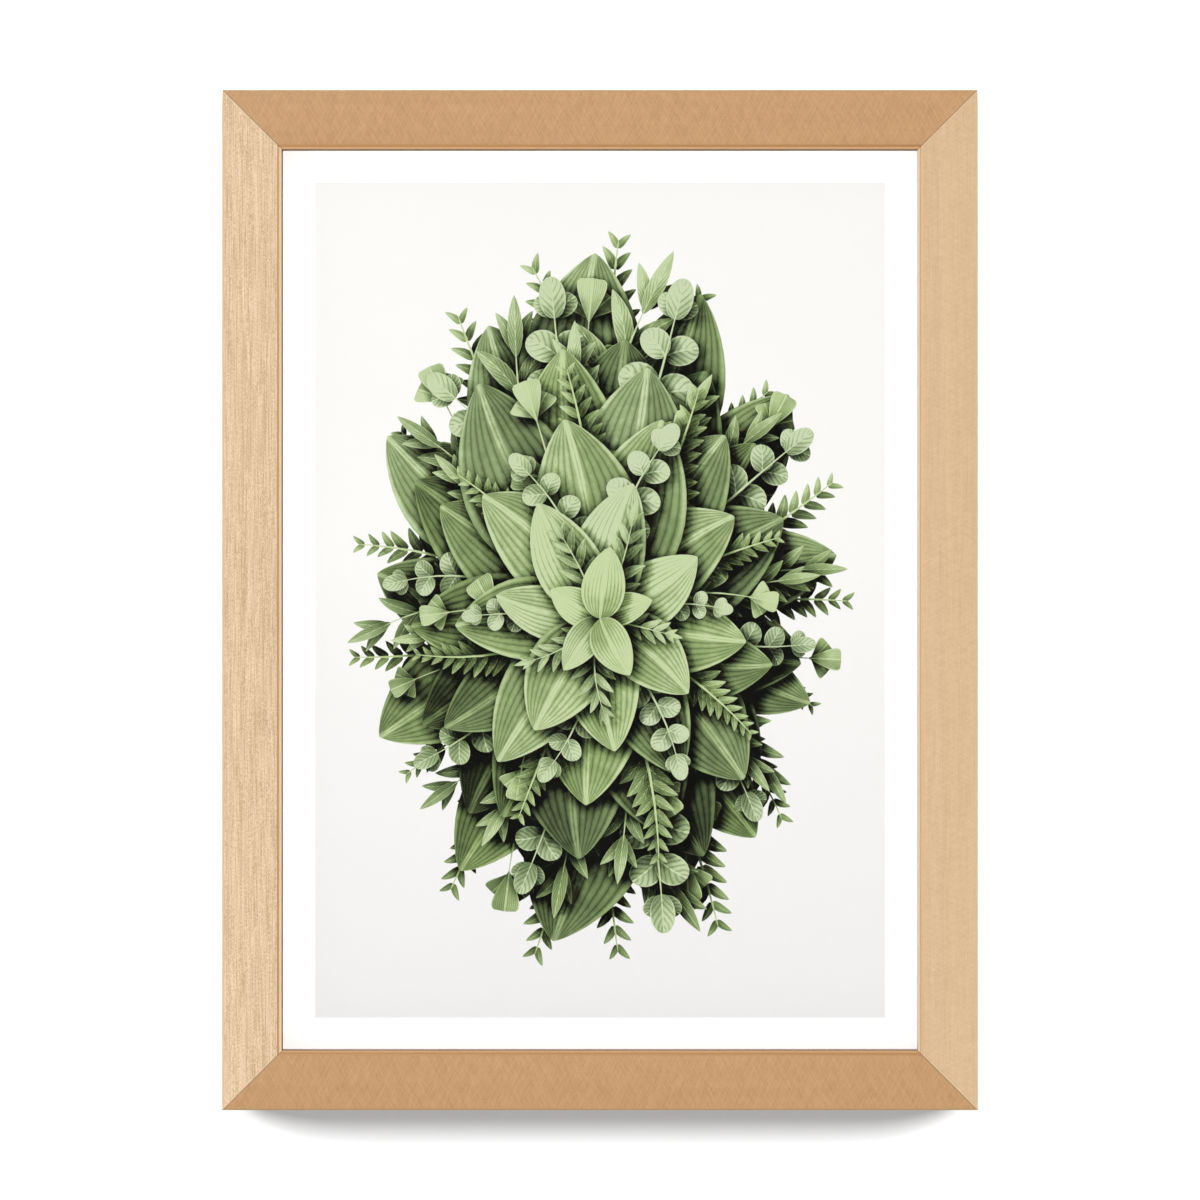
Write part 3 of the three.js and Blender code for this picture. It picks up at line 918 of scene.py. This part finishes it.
# The button screws
# Zinc-plated pan-head wood screws with a pressed cross recess, one through each button.
# Their shanks are out of sight in the stiles.
SCREW_HEAD = 3 * MM
SCREW_SHANK = 1.4 * MM
HEAD_HEIGHT = 1.7 * MM
SCREW_CROWN = 0.75 * HEAD_HEIGHT
RECESS_LENGTH = 3.4 * MM
RECESS_WIDTH = 0.75 * MM
RECESS_DEPTH = 0.9 * MM
RECESS_TAPER = 0.62


def axis_of(node):
    """Where a round piece's axis starts, how far it runs along y, and the piece's radius."""
    low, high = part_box(node)
    start = Vector(((low.x + high.x) / 2, low.y, (low.z + high.z) / 2))
    return start, high.y - low.y, (high.x - low.x) / 2


def turned_piece(profile, steps, place):
    """A profile of radius and height, spun about an axis along y that starts at place."""
    mesh = bmesh.new()
    row = [mesh.verts.new((radius, height, 0)) for radius, height in profile]
    edges = [mesh.edges.new(pair) for pair in zip(row, row[1:])]
    bmesh.ops.spin(
        mesh, geom=row + edges, cent=(0, 0, 0), axis=(0, 1, 0), angle=2 * math.pi, steps=steps,
        use_merge=True,
    )
    bmesh.ops.remove_doubles(mesh, verts=mesh.verts[:], dist=1e-6)
    bmesh.ops.translate(mesh, verts=mesh.verts[:], vec=place)
    return mesh


def arc(steps):
    """The cosine and sine of even turns from 0 to 90 degrees."""
    turns = [math.pi / 2 * i / steps for i in range(steps + 1)]
    return [(math.cos(a), math.sin(a)) for a in turns]


def headed(rise, shank, head, height, crown, steps):
    """The profile of a screw or pin: a pointed shank, then a head with a rim and a crown."""
    dome = [(head * across, rise - crown + crown * up) for across, up in arc(steps)[:-1]]
    return [(0, 0), (shank, 2 * shank), (shank, rise - height), (head, rise - height), *dome, (0, rise)]


def cross_cutter(place):
    """A tapered cross, as long and wide as the recess where it leaves the head."""
    near, far = RECESS_WIDTH / 2, RECESS_LENGTH / 2
    cutter = bmesh.new()
    corners = []
    for quarter in range(4):
        for x, z in ((near, -near), (far, -near), (far, near)):
            for _ in range(quarter):
                x, z = -z, x
            corners.append(cutter.verts.new((x, RECESS_DEPTH, z)))
    foot = pulled(cutter, [cutter.faces.new(corners)], (0, -2 * RECESS_DEPTH, 0))
    bmesh.ops.scale(cutter, vec=(RECESS_TAPER, 1, RECESS_TAPER), verts=foot)
    bmesh.ops.recalc_face_normals(cutter, faces=cutter.faces[:])
    bmesh.ops.translate(cutter, verts=cutter.verts[:], vec=place)
    return as_object(cutter, "cross_cutter")


for place in BUTTON_PLACES:
    start, rise, _ = axis_of("button_screw_" + place)
    profile = headed(rise, SCREW_SHANK, SCREW_HEAD, HEAD_HEIGHT, SCREW_CROWN, 7)
    screw = finished(
        turned_piece(profile, 40, start), "pan_screw_" + place, "button_screw_" + place, zinc,
        angle=50,
    )
    cutter = cross_cutter(start + Vector((0, rise, 0)))
    recess = screw.modifiers.new("Recess", "BOOLEAN")
    recess.object, recess.operation, recess.solver = cutter, "DIFFERENCE", "EXACT"
    bpy.context.view_layer.update()
    seen = screw.evaluated_get(bpy.context.evaluated_depsgraph_get())
    data = bpy.data.meshes.new_from_object(seen)
    screw.modifiers.clear()
    screw.data = data
    bpy.data.objects.remove(cutter)


# The sawtooth hanger
# A strip of brass-plated steel with nine notches along its lower edge. Its middle is pressed
# up off the wood, so that a wall nail's head fits behind it.
NOTCHES = 9
NOTCH_PITCH = 2.2 * MM
NOTCH_DEPTH = 1.3 * MM
PLATE_WALL = 0.9 * MM
PLATE_RISE = 2.2 * MM
PLATE_FOOT = 8.5 * MM
PLATE_RAMP = 2.5 * MM
PLATE_ARRIS = 0.12 * MM
RAMP_STEPS = 8
low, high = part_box("sawtooth_hanger")
half_plate = (high.x - low.x) / 2
teeth_end = NOTCHES * NOTCH_PITCH / 2
stations = [(-half_plate, 0, 0)]
for i in range(RAMP_STEPS + 1):
    climb = i / RAMP_STEPS
    stations.append((
        -half_plate + PLATE_FOOT + climb * PLATE_RAMP, (1 - math.cos(math.pi * climb)) / 2, 0,
    ))
mirrored = [(-along, raised, 0) for along, raised, _ in reversed(stations)]
for i in range(2 * NOTCHES + 1):
    stations.append((-teeth_end + i * NOTCH_PITCH / 2, 1, i % 2))
stations += mirrored
plate = bmesh.new()
upright = [
    plate.verts.new((stations[0][0], low.y + PLATE_WALL, height)) for height in (low.z, high.z)
]
edge = plate.edges.new(upright)
for along, raised, notched in stations[1:]:
    grown = bmesh.ops.extrude_edge_only(plate, edges=[edge])["geom"]
    edge = next(e for e in grown if isinstance(e, bmesh.types.BMEdge))
    lower, upper = sorted(edge.verts, key=lambda v: v.co.z)
    for v, height in ((lower, low.z + notched * NOTCH_DEPTH), (upper, high.z)):
        v.co = Vector((along, low.y + PLATE_WALL + raised * PLATE_RISE, height))
bmesh.ops.recalc_face_normals(plate, faces=plate.faces[:])
inward_wall = math.copysign(PLATE_WALL, plate.faces[0].normal.y)
bmesh.ops.solidify(plate, geom=plate.faces[:], thickness=inward_wall)
sharp = [e for e in plate.edges if e.calc_face_angle(0) > math.radians(50)]
bevelled(plate, sharp, PLATE_ARRIS, 2)
brass = plated("Brass plate", (0.80, 0.62, 0.32), (0.62, 0.44, 0.2), 0.2)
finished(plate, "toothed_plate", "sawtooth_hanger", brass, angle=30)


# The hanger pins
# Two small flat-headed steel pins through the plate's feet into the top rail.
PIN_HEAD = 1.8 * MM
PIN_SHANK = 0.6 * MM
PIN_HEAD_HEIGHT = 0.7 * MM
PIN_CROWN = 0.7 * PIN_HEAD_HEIGHT
for side in ("left", "right"):
    start, rise, _ = axis_of("hanger_pin_" + side)
    profile = headed(rise, PIN_SHANK, PIN_HEAD, PIN_HEAD_HEIGHT, PIN_CROWN, 5)
    pin = turned_piece(profile, 28, start)
    finished(pin, "flat_pin_" + side, "hanger_pin_" + side, zinc)


# The bumpers
# Round self-adhesive pads of soft clear-grey rubber at the foot of the back.
# They hold the frame off the wall and keep it from marking the paint.
def soft_rubber():
    material, shader, surface, place = new_material("Soft rubber")
    haze = shader.noise(place, (500, 500, 500), 3.0)
    dust = shader.ramp(shader.noise(place, (3000, 3000, 3000)), 0.62, 0.72)
    tone = shader.mix(shader.ramp(haze, 0.3, 0.7), (0.4, 0.39, 0.355), (0.5, 0.49, 0.45))
    colour = shader.mix(shader.times(dust, 0.35), tone, (0.33, 0.32, 0.3))
    coated(shader, surface, colour, shader.ramp(haze, 0.3, 0.7, 0.36, 0.52), haze, 0.03 * MM, 0.3)
    return material


BUMPER_EASE = 1.0 * MM
rubber = soft_rubber()
for side in ("left", "right"):
    start, rise, radius = axis_of("bumper_" + side)
    shoulder = [
        (radius - BUMPER_EASE * (1 - across), rise - BUMPER_EASE * (1 - up)) for across, up in arc(6)
    ]
    pad = turned_piece([(0, 0), (radius, 0), *shoulder, (0, rise)], 48, start)
    finished(pad, "rubber_pad_" + side, "bumper_" + side, rubber)


# The room
# A pale wall that the bumpers just touch, seen only from its front, and a pale floor well below.
# Both fade into the surround further off.
ROOM_SIZE = 8.0
WALL_CLEARANCE = 0.05 * MM
WALL_FADE = (0.7, 1.4)
FLOOR_DROP = 1.1
FLOOR_FADE = (1.4, 3.4)


def stage_plane(name, location, turn, material):
    flat = bmesh.new()
    bmesh.ops.create_grid(flat, x_segments=1, y_segments=1, size=ROOM_SIZE / 2)
    bmesh.ops.rotate(flat, verts=flat.verts[:], matrix=Matrix.Rotation(turn, 3, "X"))
    bmesh.ops.translate(flat, verts=flat.verts[:], vec=location)
    plane = as_object(flat, name)
    plane.data.materials.append(material)
    plane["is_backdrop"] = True
    return plane


def faded(paint, surface, fade, hidden=0.0):
    """Finishes a material that is clear where it is hidden or far from the picture."""
    away = paint.vectors("DISTANCE", paint.place(), middle)["Value"]
    clear = paint.math("MAXIMUM", paint.ramp(away, *fade), hidden)
    seen = paint.blend(clear, surface, paint.node("ShaderNodeBsdfTransparent"))
    paint.node("ShaderNodeOutputMaterial", seen.outputs[0])


wall_paint, paint = bare_material("Wall paint")
matt = paint.node("ShaderNodeBsdfDiffuse", Color=(0.3, 0.3, 0.3))
glow = paint.node("ShaderNodeEmission", Color=(0.97, 1, 1.03), Strength=0.24)
lit = paint.node("ShaderNodeAddShader", matt.outputs[0], glow.outputs[0])
faded(paint, lit, WALL_FADE, paint.node("ShaderNodeNewGeometry").outputs["Backfacing"])
floor_paint, paint = bare_material("Floor paint")
faded(paint, paint.node("ShaderNodeBsdfDiffuse", Color=(0.85, 0.85, 0.85)), FLOOR_FADE)

wall = stage_plane("wall", (0, cad_high.y + WALL_CLEARANCE, middle.z), math.pi / 2, wall_paint)
for ray in ("diffuse", "glossy", "transmission", "shadow"):
    setattr(wall, "visible_" + ray, False)
stage_plane("floor", (0, cad_high.y, middle.z - FLOOR_DROP), 0, floor_paint)

# Light: a pale surround, dim where glass and metal mirror the camera's side, a lamp high on the
# left for the picture, a weaker one on the right for its shade, one at each side for the wall
# and its shadow, and one for the back
SURROUND = 0.55
PICTURE_LAMP = 3.15
FILL_LAMP = 1.3
WALL_LAMP = 142.0
BACK_LAMP = 26.0
DIM_FROM = (0.3, 0.75)
world = bpy.data.worlds.new("Pale surround")
world.use_nodes = True
bpy.context.scene.world = world
sky = Shader(world.node_tree)
sky_rays = sky.node("ShaderNodeLightPath").outputs
heading = sky.node("ShaderNodeTexCoord").outputs["Generated"]
toward = sky.times(sky.split(heading)["Y"], -1.0)
dim = sky.times(sky.ramp(toward, *DIM_FROM, 0, 0.98), sky_rays["Is Glossy Ray"])
glowing = sky.times(sky.minus(1.0, dim), SURROUND)
strength = sky.math("MAXIMUM", glowing, sky_rays["Is Camera Ray"])
surround = sky.node("ShaderNodeBackground", Color=(1, 1, 1), Strength=strength)
sky.node("ShaderNodeOutputWorld", surround.outputs[0])


def lamp(name, kind, place, energy, size, use_shadow=True):
    """A lamp turned to the middle of the picture."""
    data = bpy.data.lights.new(name, kind)
    data.energy = energy
    if kind == "AREA":
        data.shape, data.size, data.size_y = "RECTANGLE", *size
    else:
        data.angle = size
    data.use_shadow = use_shadow
    light = new_object(name, data)
    light.location = place
    light.rotation_euler = (middle - place).to_track_quat("-Z", "Y").to_euler()
    light.visible_camera = False
    return light


def lights_only(light, things):
    """Keeps a lamp's light to these objects."""
    group = bpy.data.collections.new(light.name + "_on")
    for thing in things:
        group.objects.link(thing)
    light.light_linking.receiver_collection = group


picture_lamp = lamp(
    "picture_lamp", "SUN", middle + Vector((-0.55, -1.2, 0.75)), PICTURE_LAMP, math.radians(12),
    use_shadow=False,
)
fill_lamp = lamp("fill_lamp", "SUN", middle + Vector((1.5, 0.2, 0.3)), FILL_LAMP, math.radians(20))
wall_lamps = [
    lamp("wall_lamp", "AREA", middle + Vector((1.6 * side, -0.75, 0.38)), WALL_LAMP, (0.7, 0.6))
    for side in (-1, 1)
]
back_lamp = lamp("back_lamp", "AREA", middle + Vector((-0.7, 1.5, 0.9)), BACK_LAMP, (1.4, 1.4))
for light in wall_lamps:
    lights_only(light, [wall])
    light.visible_glossy = False
parts_lit = [o for o in bpy.context.scene.objects if o.type == "MESH" and o is not wall]
for light in (picture_lamp, fill_lamp, back_lamp):
    lights_only(light, parts_lit)

# Camera: square to the picture, far enough that the sight edge shows only a hair of its depth
PHOTO_WIDTH = 1200 / 3.116 * MM  # what the whole photograph's width spans at the frame's face
LENS = 135
SENSOR = 36
camera_data = bpy.data.cameras.new("camera")
camera_data.lens, camera_data.sensor_width = LENS, SENSOR
camera = new_object("camera", camera_data)
camera.location = middle + Vector((0, -PHOTO_WIDTH * LENS / SENSOR, 0))
camera.rotation_euler = (math.pi / 2, 0, 0)
bpy.context.scene.camera = camera
bpy.context.scene.view_settings.view_transform = "Standard"

low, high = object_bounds()
